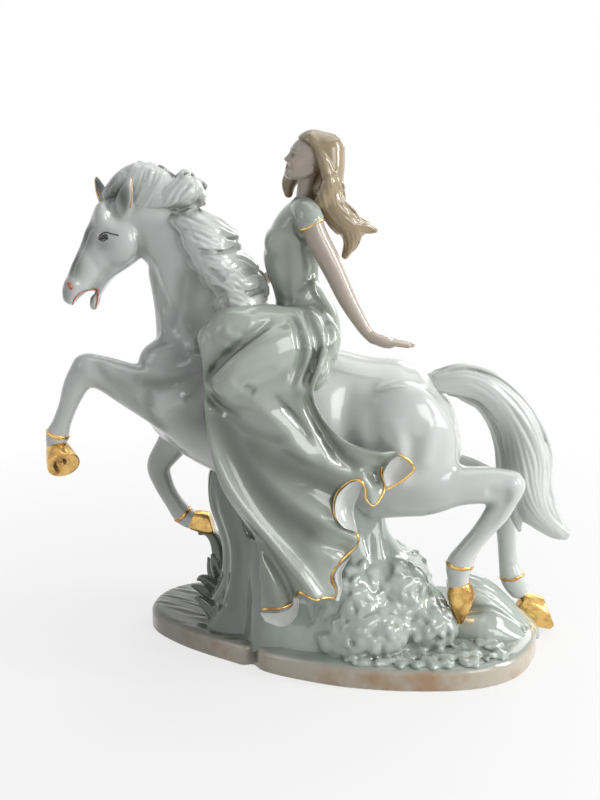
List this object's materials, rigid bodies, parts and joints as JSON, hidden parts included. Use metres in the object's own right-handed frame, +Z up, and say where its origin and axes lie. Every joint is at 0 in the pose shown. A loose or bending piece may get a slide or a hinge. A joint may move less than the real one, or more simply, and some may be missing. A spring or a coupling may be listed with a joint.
{
  "type": "horse and rider figurine",
  "caption": "Glazed porcelain figurine of a springing horse with a long-haired rider in a flowing dress sitting sideways, on an oval leafy base with gilded details.",
  "frame": {"origin": "centre of the bounding box at the height of the foot rim", "axes": "+Z up, the horse faces -X, its near side with the rider's skirt faces -Y"},
  "size_m": [0.3013, 0.131, 0.3004],
  "materials": {
    "white_porcelain": "glossy clear glaze over white body, soft grey shading",
    "shaded_porcelain": "glossy clear glaze over grey shading",
    "green_glaze": "glossy pale sage green glaze",
    "earth_glaze": "glossy beige and green glaze, bare foot rim",
    "skin_glaze": "glossy pale skin glaze",
    "hair_glaze": "glossy light brown glaze",
    "gold_lustre": "fired gold lustre over the glaze"
  },
  "bodies": {
    "root": {"horse_trunk": "white_porcelain", "horse_neck": "white_porcelain", "horse_head": "white_porcelain", "forelock": "white_porcelain", "mane_crest": "white_porcelain", "mane_middle": "white_porcelain", "mane_lower": "white_porcelain", "mane_fall": "white_porcelain", "tail": "white_porcelain", "near_foreleg": "white_porcelain", "far_foreleg": "white_porcelain", "near_hind_leg": "white_porcelain", "far_hind_leg": "white_porcelain", "near_ear": "shaded_porcelain", "far_ear": "shaded_porcelain", "rider_torso": "green_glaze", "near_sleeve": "green_glaze", "far_sleeve": "green_glaze", "near_knee_drape": "green_glaze", "far_knee_drape": "green_glaze", "skirt_train": "green_glaze", "shrub_support": "green_glaze", "stump_left": "green_glaze", "grass_tuft": "green_glaze", "leaf_ramp": "green_glaze", "base_slab": "earth_glaze", "rider_head": "skin_glaze", "near_arm": "skin_glaze", "far_arm": "skin_glaze", "hair_cap": "hair_glaze", "hair_fall": "hair_glaze", "hair_far_lock": "hair_glaze", "near_fore_hoof": "gold_lustre", "far_fore_hoof": "gold_lustre", "near_hind_hoof": "gold_lustre", "far_hind_hoof": "gold_lustre", "near_fore_band": "gold_lustre", "far_fore_band": "gold_lustre", "near_hind_band": "gold_lustre", "far_hind_band": "gold_lustre", "near_armband": "gold_lustre", "far_armband": "gold_lustre", "hem_gilding": "gold_lustre"}
  },
  "joints": []
}
